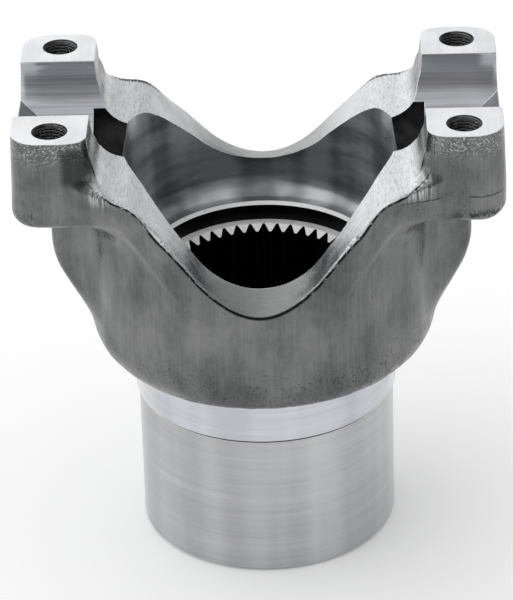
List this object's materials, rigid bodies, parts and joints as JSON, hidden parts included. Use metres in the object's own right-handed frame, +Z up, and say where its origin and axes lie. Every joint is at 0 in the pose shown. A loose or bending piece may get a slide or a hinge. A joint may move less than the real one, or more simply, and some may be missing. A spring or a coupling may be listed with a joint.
{
  "type": "forged end yoke",
  "caption": "Forged steel end yoke: a splined hub and a round bowl that carries ears with half-round bearing saddles, locating tangs and tapped strap-bolt holes.",
  "frame": {"origin": "centre of the hub's end face", "axes": "+Z up the shaft axis from the hub's end face to the bolting pads, X through both ears along the saddles' axis, Y across the open sides of the U"},
  "size_m": [0.1396, 0.1016, 0.1427],
  "materials": {
    "steel": "bare forged and polished steel, machined pads, saddles, bore and hub"
  },
  "bodies": {
    "root": {"yoke": "steel"}
  },
  "joints": []
}
